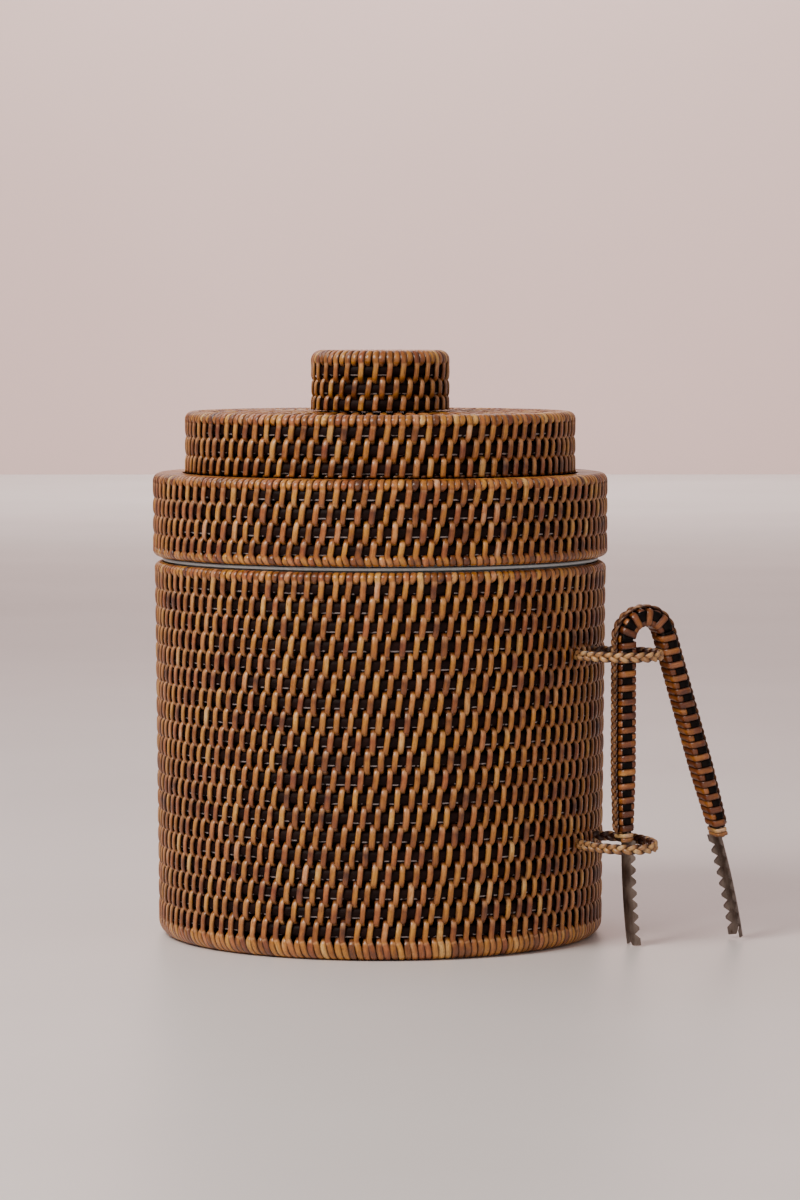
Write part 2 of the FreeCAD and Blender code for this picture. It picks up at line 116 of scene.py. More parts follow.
# A section is three lists: shares of the width, of the thickness and of the crown.
FLAT = (np.array([-0.48, -0.5, -0.37, 0.0, 0.37, 0.5, 0.48]),
        np.array([-0.5, 0.12, 0.45, 0.5, 0.45, 0.12, -0.5]),
        np.array([0.0, 0.0, 0.55, 1.0, 0.55, 0.0, 0.0]))
TURN = np.arange(10) * math.tau / 10
OVAL = (-0.5 * np.cos(TURN), 0.5 * np.sin(TURN), 0 * TURN)


class Sweeps:
    """Collects swept strips and makes one mesh of them."""

    def __init__(self):
        self.verts = []
        self.quads = []
        self.caps = []
        self.tone = []
        self.grain = []
        self.count = 0

    def add(self, points, normals, width, thick, crown, tone, along=None, section=FLAT, closed=False,
            number=0.0):
        """points and normals are (strips, samples, 3); tone is (strips, samples, 4)."""
        strips, samples = points.shape[:2]
        if closed:
            tangent = np.roll(points, -1, 1) - np.roll(points, 1, 1)
        else:
            tangent = np.gradient(points, axis=1)
        tangent = unit(tangent)
        normals = unit(normals - (normals * tangent).sum(-1, keepdims=True) * tangent)
        side = np.cross(tangent, normals)
        width = np.broadcast_to(width, (strips, samples))[:, :, None]
        thick = np.broadcast_to(thick, (strips, samples))[:, :, None]
        crown = np.broadcast_to(crown, (strips, samples))[:, :, None]
        u = width * section[0]
        v = thick * section[1] + crown * section[2]
        ring = points[:, :, None, :] + side[:, :, None, :] * u[..., None]
        ring = ring + normals[:, :, None, :] * v[..., None]
        k = len(section[0])
        index = self.count + np.arange(strips * samples * k).reshape(strips, samples, k)
        beside = np.roll(index, -1, 2)
        if closed:
            quads = [index, beside, np.roll(beside, -1, 1), np.roll(index, -1, 1)]
        else:
            quads = [index[:, :-1], beside[:, :-1], beside[:, 1:], index[:, 1:]]
            self.caps.append(index[:, 0, ::-1].reshape(-1, k))
            self.caps.append(index[:, -1, :].reshape(-1, k))
        self.quads.append(np.stack(quads, -1).reshape(-1, 4))
        self.verts.append(ring.reshape(-1, 3))
        tone = np.broadcast_to(tone[:, :, None, :], (strips, samples, k, 4))
        self.tone.append(tone.reshape(-1, 4))
        if along is None:
            steps = np.linalg.norm(np.diff(points, axis=1), axis=-1)
            along = np.concatenate([np.zeros((strips, 1)), np.cumsum(steps, 1)], 1)
        which = (np.arange(strips) * 7.31 + number)[:, None, None]
        grain = np.stack(np.broadcast_arrays(u, along[:, :, None], which), -1)
        self.grain.append(grain.reshape(-1, 3))
        self.count += strips * samples * k

    def piece(self, name):
        caps = np.concatenate(self.caps) if self.caps else None
        return build(name, np.concatenate(self.verts), np.concatenate(self.quads), caps,
                     np.concatenate(self.tone), np.concatenate(self.grain))


# ------------------------ upright weave
def line(a, b):
    """Points of a straight run of an outline, as (radius, height)."""
    count = max(2, int(math.dist(a, b) / 0.1))
    return np.linspace(a, b, count)


def bend(centre, radius, start, end):
    """Points of a rounded corner of an outline, between two angles in degrees."""
    angles = np.radians(np.linspace(start, end, max(3, int(abs(end - start) / 2))))
    return np.stack([centre[0] + radius * np.cos(angles), centre[1] + radius * np.sin(angles)], 1)


def resample(pieces, step):
    """Even steps along an outline: radius, height and the distance from its start."""
    path = np.concatenate(pieces)
    keep = np.concatenate([[True], np.linalg.norm(np.diff(path, axis=0), axis=1) > 1e-6])
    path = path[keep]
    s = np.concatenate([[0], np.cumsum(np.linalg.norm(np.diff(path, axis=0), axis=1))])
    at = np.linspace(0, s[-1], int(s[-1] / step) + 1)
    return np.interp(at, s, path[:, 0]), np.interp(at, s, path[:, 1]), at


def steep(x, k=2.4):
    """Makes a wave from -1 to 1 stay longer at its ends, the more so the larger k is."""
    return np.tanh(k * x) / math.tanh(k)


def smooth_noise(strips, at, scale, amplitude):
    """A slow random wander along each strip, of about the given length and amplitude."""
    total = np.zeros((strips, len(at)))
    for octave in (1.0, 2.3):
        phase = rng.uniform(0, math.tau, (strips, 1))
        rate = rng.uniform(0.7, 1.3, (strips, 1)) * octave / scale
        total += np.sin(at[None, :] * rate * math.tau + phase) / octave
    return total * amplitude / 1.4


def weave(outline, rod_at, count, start_angle, step=0.9, drift=0.5, lean=0.7, wall_width=2.66,
          edge_width=3.0, edge_lean=1.0, above=6.4, below=8.0):
    """Strips that follow an outline from its top end, in front of and behind the rods at the given heights.
    drift and lean are how far a strip shifts sideways in each row, and how far it slants within one.
    above and below are the distances from the first and last rod to where the strips lie flat at the edge.
    Returns everything that Sweeps.add needs, for all strips."""
    r, z, at = resample(outline, step)
    tr, tz = np.gradient(r, at), np.gradient(z, at)
    size = np.hypot(tr, tz)
    nr, nz = -tz / size, tr / size
    face = np.where(tz < -0.5)[0]                        # the outside face, going down
    rod_s = [float(np.interp(-height, -z[face], at[face])) for height in rod_at]
    bottom = len(rod_s) - 1
    q = np.interp(at, rod_s, np.arange(len(rod_s)))      # rows from the first rod
    q = np.where(at < rod_s[0], (at - rod_s[0]) / above, q)
    q = np.where(at > rod_s[-1], bottom + (at - rod_s[-1]) / below, q)
    out = np.where(np.arange(count) % 2 == 0, 1.0, -1.0)[:, None]
    wavy = q[None, :] + smooth_noise(count, at, 17, 0.045)
    leaning_out = out * np.cos(math.pi * wavy) + LONGER  # above 0 where the strip is outside
    swing = steep(leaning_out / np.where(leaning_out > 0, 1 + LONGER, 1 - LONGER))
    swing = np.where((wavy < 0) & (out > 0), 1.0, swing)
    swing = np.where(wavy <= -1, 1.0, swing)
    at_last = out * (1.0 if bottom % 2 == 0 else -1.0)
    swing = np.where((wavy > bottom) & (at_last > 0), 1.0, swing)
    swing = np.where(wavy >= bottom + 1, 1.0, swing)
    depth = WEAVE * (1 - swing) + np.abs(smooth_noise(count, at, 23, 0.09))
    # 0 on the wall and 1 past its first and last rod, where all strips lie side by side
    edge = np.clip(np.maximum(-q, q - bottom) * 2 - 0.7, 0, 1)[None, :]
    # goes from side to side once in every two rows, which makes the stitches slant
    saw = 2 / math.pi * np.arcsin(np.sin(math.pi * np.clip(q, -1, bottom + 1)))[None, :]
    row = np.rint(np.clip(q, -1, bottom + 1)).astype(int)
    row_shift = rng.normal(0, 0.09, bottom + 4)
    shift = drift * np.clip(q, -1, bottom + 1)[None, :] - lean * saw * out * (1 - edge)
    past_edge = np.clip(-0.4 - q, 0, 1.6) + np.clip(q - bottom - 0.4, 0, 1.6)
    shift = shift + edge_lean * past_edge[None, :]
    shift = shift + smooth_noise(count, at, 31, WANDER)
    shift = shift + np.interp(q, np.arange(-1, bottom + 3), row_shift)[None, :] * 0.8
    each = rng.normal(0, WANDER * 0.8, (count, 1))
    shift = shift + each * (1 - 0.5 * edge)
    base = float(np.interp(rod_s[0], at, r))
    theta = start_angle + np.arange(count)[:, None] * math.tau / count + shift / base
    rr = r[None, :] - nr[None, :] * depth
    zz = z[None, :] - nz[None, :] * depth
    points = np.stack([rr * np.cos(theta), rr * np.sin(theta), np.broadcast_to(zz, theta.shape)], -1)
    normals = np.stack([nr * np.cos(theta), nr * np.sin(theta), np.broadcast_to(nz, theta.shape)], -1)
    wide = np.clip(rng.normal(1, 0.065, (count, 1)), 0.84, 1.16) + smooth_noise(count, at, 40, 0.035)
    narrow = 1 - 0.13 * np.clip(1 - np.abs(swing), 0, 1)
    scale = np.minimum(r / base, 1.02)[None, :]
    width = wall_width * (1 - edge) + edge_width * edge
    width = width * (1 + (wide - 1) * (1 - 0.6 * edge)) * narrow * scale
    tint = np.broadcast_to(rng.uniform(0, 1, (count, 1)), theta.shape)
    segments = rng.uniform(0, 1, (count, bottom + 4))
    segment = np.take_along_axis(segments, np.broadcast_to(row + 1, theta.shape), 1)
    # The cane material paints light from these: within a row a stitch is painted paler at its top, a
    # painted highlight, and deeper at its foot, painted shade; shade, how far out the strip lies, darkens
    # it with painted shade where it dives in.
    inside_row = np.broadcast_to(np.clip(q - np.rint(q) + 0.5, 0, 1)[None, :], theta.shape)
    inside_row = np.where(edge > 0.5, 0.35, inside_row)
    shade = np.clip((swing + 1) / 2, 0, 1)
    tone = np.stack([tint, inside_row, shade, segment], -1)
    return points, normals, width, tone, np.broadcast_to(at[None, :], theta.shape)


def add_weave(parts, data, number=0.0):
    """Shares the strips of one weave out over several meshes, so that none is too large.
    number, here and below, gives each piece its own grain."""
    points, normals, width, tone, along = data
    for i, part in enumerate(parts):
        pick = slice(i, None, len(parts))
        part.add(points[pick], normals[pick], width[pick], THICK, CROWN, tone[pick], along[pick],
                 number=number + i * 1.7)


def outer_radius(height):
    """The basket's outer face widens a little towards its mouth."""
    return 98.5 + 1.5 * height / 165.5


# ------------------------ level weave
def stitches(part, height, facing, radii, number, spacing=2 * STRIP, reach=0.69, rise=WEAVE, width=2.5):
    """Short radial strips over rings of cane that lie flat, facing up (1) or down (-1).
    reach is how many rows a strip extends to each side of its ring."""
    for k, radius in enumerate(radii):
        count = max(5, int(round(math.tau * radius / spacing)))
        q = np.linspace(-reach, reach, 13)
        r = radius + q * PITCH
        lift = rise * steep(np.cos(math.pi * q))
        angle = (np.arange(count) + 0.5 * (k % 2) + 0.25 * (1 - facing)) * math.tau / count
        angle = angle + rng.normal(0, 0.14, count) / max(radius, 6)
        lean = 0.45 * q * facing
        theta = angle[:, None] + lean[None, :] / np.maximum(r, 4)[None, :]
        jitter = -np.abs(rng.normal(0, 0.06, (count, 1)))
        z = height + facing * (lift[None, :] + jitter)
        r = np.maximum(r, 0.4)
        points = np.stack([r * np.cos(theta), r * np.sin(theta), z], -1)
        if facing < 0:
            points = points[:, ::-1]
        normals = np.zeros_like(points)
        normals[..., 2] = facing
        room = np.linalg.norm(points[..., :2], axis=-1) * math.tau / count
        fit = np.clip(np.minimum(1, room / width * 0.98), 0.3, 1)
        wide = width * rng.normal(1, 0.06, (count, 1)) * (1 - 0.13 * np.abs(q)[None, :]) * fit
        tint = rng.uniform(0, 1, (count, 1))
        segment = rng.uniform(0, 1, (count, 1))
        # shade darkens a stitch with painted shade where it dives in; the place along it paints one end
        # paler, a painted highlight, and the other deeper, painted shade.
        shade = np.clip((lift / rise + 1) / 2, 0, 1)[None, :]
        tone = np.stack(np.broadcast_arrays(tint, (q[None, :] + 0.7) / 1.4, shade, segment), -1)
        part.add(points, normals, wide, THICK, CROWN, tone, number=number + k * 3.3)


# ------------------------ braids
STRANDS = 3


def braid(part, centre, across, out, along, number, wave=13.6, half_across=1.28, half_out=0.78,
          width=2.15, thick=1.4, phase=0.0):
    """Strands plaited about a centre line; across and out are unit vectors at each sample.
    wave is the length of one full crossing of a strand."""
    for j in range(STRANDS):
        turn = math.tau * (along / wave + j / STRANDS) + phase
        sway = np.sin(turn)
        over = np.sin(2 * turn)
        points = centre + across * (half_across * sway)[:, None] + out * (half_out * over)[:, None]
        tilt = np.cos(2 * turn) * 0.25
        normal = out + across * (tilt * sway)[:, None]
        tint = (0.2, 0.75, 0.5)[j] + 0.15 * rng.uniform(-1, 1)
        flecks = 0.5 + 0.5 * np.sin(along * 0.9 + 3 * j)
        # shade and the second value paint a strand lighter where it passes over the others, a painted
        # highlight, and darker where it dips under them, painted shade.
        shade = np.clip(0.56 + 0.5 * over, 0, 1)
        tone = np.stack([np.full_like(along, tint), 0.5 - 0.3 * over, shade, flecks], -1)
        part.add(points[None], normal[None], width, thick, 0.0, tone[None], along[None], section=OVAL,
                 number=number + 2.1 * j)
    return part


BURIED = 2.6           # how deep a loop's ends go into the wall


def loop_path(height, centre, half, yaw, tilt):
    """The middle of a loop's cord from where it leaves the wall, round and back, as CAD draws it."""
    t = np.linspace(-math.pi, math.pi, 1441)
    x, y, z = half[0] * np.cos(t), half[1] * np.sin(t), 0 * t
    a, b = math.radians(yaw), math.radians(tilt)
    x, y = x * math.cos(a) - y * math.sin(a), x * math.sin(a) + y * math.cos(a)
    y, z = y * math.cos(b), y * math.sin(b)
    points = np.stack([x + centre[0], y + centre[1], z + height], -1)
    keep = np.hypot(points[:, 0], points[:, 1]) > outer_radius(height) - BURIED
    points = points[keep]
    s = np.concatenate([[0], np.cumsum(np.linalg.norm(np.diff(points, axis=0), axis=1))])
    at = np.arange(0, s[-1], 0.45)
    points = np.stack([np.interp(at, s, points[:, i]) for i in range(3)], -1)
    tangent = unit(np.gradient(points, axis=0))
    plane = np.array([0, -math.sin(b), math.cos(b)])
    out = unit(np.cross(tangent, plane))
    return points, np.broadcast_to(plane, points.shape), out, at


# ------------------------ tongs
HANG_X = 116.2                       # where the inner arm hangs, on the X axis
YAW = math.radians(46.2)             # the way the tongs open, from the X axis
LEAN = math.radians(17.0)            # between the outer arm and the upright inner one
BOW = 9.3                            # radius of the bow's middle line
BOW_Z = 133.8                        # height at which the bow begins
BOW_LENGTH = (math.pi - LEAN) * BOW
BINDING = 3.8                        # length of the tight winding at each arm's end
IN_END = -(87.4 - BINDING)           # ends of the handle's main winding, along the middle line
OUT_END = BOW_LENGTH + 93.6 - BINDING
HALF_WIDE = 5.75                     # half the handle's width
PROUD = 3.8                          # half its thickness


def tongs_world(u, v, z):
    """u runs out from the inner arm in the tongs' plane and v across that plane."""
    x = HANG_X + u * math.cos(YAW) - v * math.sin(YAW)
    y = u * math.sin(YAW) + v * math.cos(YAW)
    return np.stack([x, y, z + 0 * u], -1)


def spine(s):
    """The handle's middle line: s below 0 is the inner arm, then the bow, then the outer arm.
    Returns u, z and the unit vector that points out of the tongs, in the tongs' plane."""
    s = np.asarray(s, float)
    turn = np.clip(s / BOW, 0, math.pi - LEAN)
    a = math.pi - turn
    u = BOW + BOW * np.cos(a)
    z = BOW_Z + BOW * np.sin(a)
    beyond = np.clip(s - BOW_LENGTH, 0, None)
    u = u + beyond * math.sin(LEAN)
    z = z - beyond * math.cos(LEAN)
    z = z + np.clip(s, None, 0)
    return u, z, np.cos(a), np.sin(a)


def about_section(turns_around, inset):
    """Out, across and the two parts of the normal at a share of the way round the handle's section,
    which is a rectangle with rounded corners. inset moves the point in from its surface."""
    r = 2.4                                              # radius of the corners
    a, b = PROUD - r, HALF_WIDE - r
    corner = math.pi / 2 * r
    w = (np.asarray(turns_around) % 1.0) * (4 * a + 4 * b + 4 * corner)
    o, v, no, nv = (np.zeros_like(w) for _ in range(4))
    # each side: its length, its start, the normal and the direction of travel; then its corner's middle
    sides = [(2 * b, (a + r, -b), (1, 0), (0, 1), (a, b)),
             (2 * a, (a, b + r), (0, 1), (-1, 0), (-a, b)),
             (2 * b, (-a - r, b), (-1, 0), (0, -1), (-a, -b)),
             (2 * a, (-a, -b - r), (0, -1), (1, 0), (a, -b))]
    start = 0.0
    for side, (length, first, normal, step, middle) in enumerate(sides):
        here = (w >= start) & (w < start + length)
        o = np.where(here, first[0] + step[0] * (w - start), o)
        v = np.where(here, first[1] + step[1] * (w - start), v)
        no = np.where(here, normal[0], no)
        nv = np.where(here, normal[1], nv)
        start += length
        here = (w >= start) & (w <= start + corner)
        angle = math.pi / 2 * side + (w - start) / r
        o = np.where(here, middle[0] + r * np.cos(angle), o)
        v = np.where(here, middle[1] + r * np.sin(angle), v)
        no = np.where(here, np.cos(angle), no)
        nv = np.where(here, np.sin(angle), nv)
        start += corner
    return o - no * inset, v - nv * inset, no, nv


def handle_point(s, o, v):
    """A point at s along the handle, o out of its middle line and v across it."""
    u, z, cu, cz = spine(s)
    return tongs_world(u + o * cu, v, z + o * cz)


def handle_vector(s, o, v):
    """The direction that is o out and v across at s along the handle."""
    _, _, cu, cz = spine(s)
    x = o * cu * math.cos(YAW) - v * math.sin(YAW)
    y = o * cu * math.sin(YAW) + v * math.cos(YAW)
    return np.stack([x, y, o * cz + 0 * v], -1)


def taper(s):
    """How far the handle has narrowed at s: shares of its thickness and of its width."""
    left = np.minimum(s - (IN_END - BINDING), OUT_END + BINDING - s)
    t = np.clip(left / 34, 0, 1)
    t = t * t * (3 - 2 * t)
    return 0.76 + 0.24 * t, 0.9 + 0.1 * t


# Shares of a turn at which the winding crosses the dark cane on each side.
SIDE_AT = {1: 0.322, -1: 0.874}
POINTS_PER_TURN = 44


def binding(part, start, end, number, pitch=STRIP, width=2.86, smaller=0.0, weave_over=True):
    """One strip wound round the handle. With weave_over, alternate turns pass under the dark canes
    on the handle's two sides."""
    turns = abs(end - start) / pitch
    w = np.linspace(0, turns, int(turns * POINTS_PER_TURN) + 1)
    s = start + w * pitch * np.sign(end - start)
    o, v, no, nv = about_section(w, inset=0.46 + smaller)
    thinner, narrower = taper(s)
    o, v = o * thinner, v * narrower
    if weave_over:
        # 1 where the strip crosses a dark cane
        near = np.clip(6 * (1.25 - np.abs(o - 1.0) / 2.3), 0, 1) * (np.abs(nv) > 0.55)
        press = np.where(np.floor(w) % 2 == 1, 0.85, 0.0) * near
        kernel = np.hanning(7)
        press = np.convolve(press, kernel / kernel.sum(), mode="same")
        o, v = o - no * press, v - nv * press
    points = handle_point(s, o, v)
    normals = handle_vector(s, no, nv)
    knots = np.arange(0, int(turns) + 3)
    tint = np.interp(w, knots, rng.uniform(0, 1, len(knots)))
    segment = 0.5 + 0.5 * np.sin(w * 2.7 + number)
    tone = np.stack([tint, np.full_like(w, 0.4), np.ones_like(w), segment], -1)
    part.add(points[None], normals[None], width, 0.8, 0.14, tone[None], number=number)
    return part


# The dark cane's outline as (out, across): its face, and then its back.
DARK_OUTLINE = np.array([
    [-1.2, 0.0], [-0.8, 0.05], [0.3, 0.07], [1.3, 0.04], [2.0, -0.05], [2.7, -0.36], [3.15, -0.72],
    [2.9, -0.95], [2.2, -0.65], [1.2, -0.55], [-1.2, -0.5]])


def dark_cane(part, start, end, side, number):
    """The dark cane that runs along one side of the handle, over and under the winding."""
    way = np.sign(end - start)
    s = np.linspace(start, end, int(abs(end - start) / 0.4) + 1)
    turn = (s - start) / STRIP * way
    over = np.cos(math.pi * (np.abs(turn) - SIDE_AT[side] - 1))
    thinner, narrower = taper(s)
    lift = -0.04 - 0.5 * (1 - steep(over, 2.0))
    v = side * (HALF_WIDE * narrower + lift)
    points = handle_point(s, 0 * s, v)
    normals = handle_vector(s, 0 * s, side + 0 * s)
    half = np.full_like(s, 0.5)
    # the third value darkens the dark cane with painted shade where it dives under the winding
    tone = np.stack([np.full_like(s, 0.3), half, np.clip((over + 1) / 2, 0, 1), half], -1)
    u = DARK_OUTLINE[:, 0] * side * way
    section = (u, DARK_OUTLINE[:, 1], 0 * u)
    if side * way < 0:
        section = tuple(values[::-1] for values in section)
    part.add(points[None], normals[None], thinner[None], 1.0, 0.0, tone[None], section=section,
             number=number)


def spine_braid(part, start, end, number):
    """The flat plait along the handle's outer face."""
    s = np.linspace(start, end, int(abs(end - start) / 0.35) + 1)
    centre = handle_point(s, PROUD * taper(s)[0] + 0.9, 0 * s)
    across = handle_vector(s, 0 * s, 1 + 0 * s)
    out = handle_vector(s, 1 + 0 * s, 0 * s)
    return braid(part, centre, across, out, s, wave=9.2, half_across=1.75, half_out=0.4,
                 width=2.3, thick=1.1, number=number)


# ------------------------ materials
def material(name):
    """A new material with only its shader, the node tree and the shader."""
    m = bpy.data.materials.new(name)
    m.use_nodes = True
    m.node_tree.nodes.clear()
    out = m.node_tree.nodes.new("ShaderNodeOutputMaterial")
    shader = m.node_tree.nodes.new("ShaderNodeBsdfPrincipled")
    m.node_tree.links.new(shader.outputs[0], out.inputs[0])
    return m, m.node_tree, shader


class Nodes:
    """Short ways to wire shader nodes."""

    def __init__(self, tree):
        self.tree = tree

    def put(self, socket, value):
        if isinstance(value, bpy.types.NodeSocket):
            self.tree.links.new(value, socket)
        else:
            socket.default_value = value

    def maths(self, operation, a, b=None, c=None, clamp=False):
        node = self.tree.nodes.new("ShaderNodeMath")
        node.operation = operation
        node.use_clamp = clamp
        for socket, value in zip(node.inputs, (a, b, c)):
            if value is not None:
                self.put(socket, value)
        return node.outputs[0]

    def mix(self, factor, a, b, blend="MIX"):
        node = self.tree.nodes.new("ShaderNodeMix")
        node.data_type = "RGBA"
        node.blend_type = blend
        node.clamp_factor = True
        self.put(node.inputs[0], factor)
        self.put(node.inputs[6], a if isinstance(a, bpy.types.NodeSocket) else (*a, 1.0))
        self.put(node.inputs[7], b if isinstance(b, bpy.types.NodeSocket) else (*b, 1.0))
        return node.outputs[2]

    def noise(self, vector, scale, detail=3.0, rough=0.55, distortion=0.0):
        node = self.tree.nodes.new("ShaderNodeTexNoise")
        self.put(node.inputs["Vector"], vector)
        node.inputs["Scale"].default_value = scale
        node.inputs["Detail"].default_value = detail
        node.inputs["Roughness"].default_value = rough
        node.inputs["Distortion"].default_value = distortion
        return node.outputs[0]

    def stretch(self, vector, factors):
        node = self.tree.nodes.new("ShaderNodeVectorMath")
        node.operation = "MULTIPLY"
        self.put(node.inputs[0], vector)
        node.inputs[1].default_value = factors
        return node.outputs[0]

    def attribute(self, name):
        node = self.tree.nodes.new("ShaderNodeAttribute")
        node.attribute_name = name
        return node

    def remap(self, value, low, high, to_low, to_high):
        node = self.tree.nodes.new("ShaderNodeMapRange")
        for socket, v in zip(node.inputs, (value, low, high, to_low, to_high)):
            self.put(socket, v)
        return node.outputs[0]

    def ramp(self, value, stops):
        node = self.tree.nodes.new("ShaderNodeValToRGB")
        self.put(node.inputs[0], value)
        ramp = node.color_ramp
        while len(ramp.elements) < len(stops):
            ramp.elements.new(0.5)
        for element, (place, colour) in zip(ramp.elements, stops):
            element.position = place
            element.color = (*colour, 1.0)
        return node.outputs[0]

    def surface(self, shader, colour, rough, height, strength, distance):
        """Wires a colour, a roughness and a bump."""
        self.put(shader.inputs["Base Color"], colour)
        self.put(shader.inputs["Roughness"], rough)
        node = self.tree.nodes.new("ShaderNodeBump")
        node.inputs["Strength"].default_value = strength
        node.inputs["Distance"].default_value = distance
        self.put(node.inputs["Height"], height)
        self.put(shader.inputs["Normal"], node.outputs[0])

    def place(self):
        return self.tree.nodes.new("ShaderNodeTexCoord").outputs["Object"]


def cane(name, ochre, rosy, pale, deep, rough=0.36, coat=0.3, stain_and_shade=(0.034, 0.0075, 0.0022)):
    """Varnished split cane: a tone per strip and per stitch, grain along it, and painted shade where it
    dives in.
    A stitch is painted paler at its upper end, a painted highlight, and deeper at its lower end, painted
    shade."""
    m, tree, shader = material(name)
    n = Nodes(tree)
    tone = n.attribute("tone")
    split = tree.nodes.new("ShaderNodeSeparateColor")
    tree.links.new(tone.outputs["Color"], split.inputs[0])
    tint, within, shade = split.outputs[0], split.outputs[1], split.outputs[2]
    segment = tone.outputs["Alpha"]
    grain = n.attribute("grain").outputs["Vector"]
    streak = n.noise(n.stretch(grain, (3.2, 0.16, 1.0)), 1.0, 4.0, 0.6)
    broad = n.noise(n.stretch(grain, (0.16, 0.055, 1.0)), 1.0, 2.0, 0.5)
    blotch = n.noise(n.stretch(grain, (0.5, 0.3, 1.0)), 1.0, 3.0, 0.6)
    fleck = n.noise(n.stretch(grain, (1.6, 0.9, 1.0)), 1.0, 2.0, 0.5)
    value = n.maths("MULTIPLY_ADD", tint, 0.30, n.maths("MULTIPLY", segment, 0.46))
    value = n.maths("MULTIPLY_ADD", n.maths("SUBTRACT", broad, 0.5), 1.3, n.maths("ADD", value, 0.12))
    value = n.maths("MULTIPLY_ADD", n.maths("SUBTRACT", blotch, 0.5), 0.6, value, clamp=True)
    hue = n.maths("FRACT", n.maths("MULTIPLY_ADD", segment, 3.7, tint))
    colour = n.mix(n.remap(hue, 0.45, 0.95, 0.0, 1.0), n.ramp(value, ochre), n.ramp(value, rosy))
    # painted light: a painted highlight where within is low (a stitch's upper end, a strand passing over)
    # and painted shade where it is high
    colour = n.mix(n.remap(within, 0.0, 0.36, 0.6, 0.0), colour, pale)
    colour = n.mix(n.remap(within, 0.5, 1.0, 0.0, 0.6), colour, deep)
    colour = n.mix(1.0, colour, n.remap(streak, 0.3, 0.7, 0.62, 1.28), "MULTIPLY")
    colour = n.mix(n.remap(fleck, 0.6, 0.74, 0.0, 0.55), colour, stain_and_shade)
    axes = tree.nodes.new("ShaderNodeSeparateXYZ")
    tree.links.new(grain, axes.inputs[0])
    from_middle = n.maths("ABSOLUTE", axes.outputs[0])
    colour = n.mix(n.remap(from_middle, 0.7, 1.3, 0.0, 0.7), colour, stain_and_shade)
    # painted shade where the strip dives in behind a rod or under its neighbours
    colour = n.mix(n.remap(shade, 0.40, 0.95, 1.0, 0.0), colour, stain_and_shade)
    roughness = n.remap(streak, 0.3, 0.75, rough - 0.08, rough + 0.14)
    height = n.maths("ADD", n.maths("MULTIPLY", streak, 0.7), n.maths("MULTIPLY", blotch, 0.5))
    n.surface(shader, colour, roughness, height, 0.5, 0.00022)
    shader.inputs["Coat Weight"].default_value = coat
    shader.inputs["Coat Roughness"].default_value = 0.22
    return m


OCHRE = [(0.0, (0.075, 0.018, 0.003)), (0.3, (0.240, 0.072, 0.006)), (0.55, (0.450, 0.172, 0.014)),
         (0.8, (0.590, 0.265, 0.032)), (1.0, (0.760, 0.440, 0.130))]
ROSY = [(0.0, (0.070, 0.015, 0.004)), (0.3, (0.230, 0.055, 0.012)), (0.6, (0.430, 0.135, 0.032)),
        (0.8, (0.580, 0.230, 0.080)), (1.0, (0.780, 0.430, 0.230))]
# In each cane, the two colours after the ramps are painted light: a stitch's painted highlight at its upper
# end and its painted shade at its lower end.
strip_cane = cane("cane_strip", OCHRE, ROSY, (0.700, 0.350, 0.150), (0.300, 0.080, 0.007))
BOUND = [(0.0, (0.050, 0.012, 0.003)), (0.3, (0.150, 0.039, 0.006)), (0.6, (0.290, 0.090, 0.012)),
         (0.85, (0.430, 0.160, 0.024)), (1.0, (0.600, 0.280, 0.070))]
BOUND_ROSY = [(0.0, (0.045, 0.010, 0.003)), (0.4, (0.170, 0.040, 0.010)), (1.0, (0.520, 0.200, 0.070))]
bound_cane = cane("cane_bound", BOUND, BOUND_ROSY, (0.52, 0.23, 0.075), (0.27, 0.075, 0.010), coat=0.2)
STRAW = [(0.0, (0.150, 0.050, 0.012)), (0.3, (0.330, 0.135, 0.032)), (0.6, (0.540, 0.290, 0.085)),
         (1.0, (0.740, 0.500, 0.230))]
STRAW_ROSY = [(0.0, (0.130, 0.040, 0.014)), (0.5, (0.420, 0.190, 0.080)), (1.0, (0.700, 0.450, 0.270))]
braid_cane = cane("cane_braid", STRAW, STRAW_ROSY, (0.68, 0.45, 0.23), (0.30, 0.12, 0.03),
                  rough=0.4, coat=0.2)
SPINE = [(0.0, (0.070, 0.024, 0.009)), (0.4, (0.190, 0.070, 0.020)), (0.75, (0.350, 0.155, 0.052)),
         (1.0, (0.560, 0.310, 0.140))]
SPINE_ROSY = [(0.0, (0.060, 0.020, 0.010)), (0.5, (0.230, 0.090, 0.042)), (1.0, (0.520, 0.290, 0.180))]
spine_cane = cane("cane_spine", SPINE, SPINE_ROSY, (0.50, 0.28, 0.14), (0.20, 0.065, 0.016))


BLACK = (0.0050, 0.0020, 0.0018)
BROWN = (0.0125, 0.0046, 0.0036)


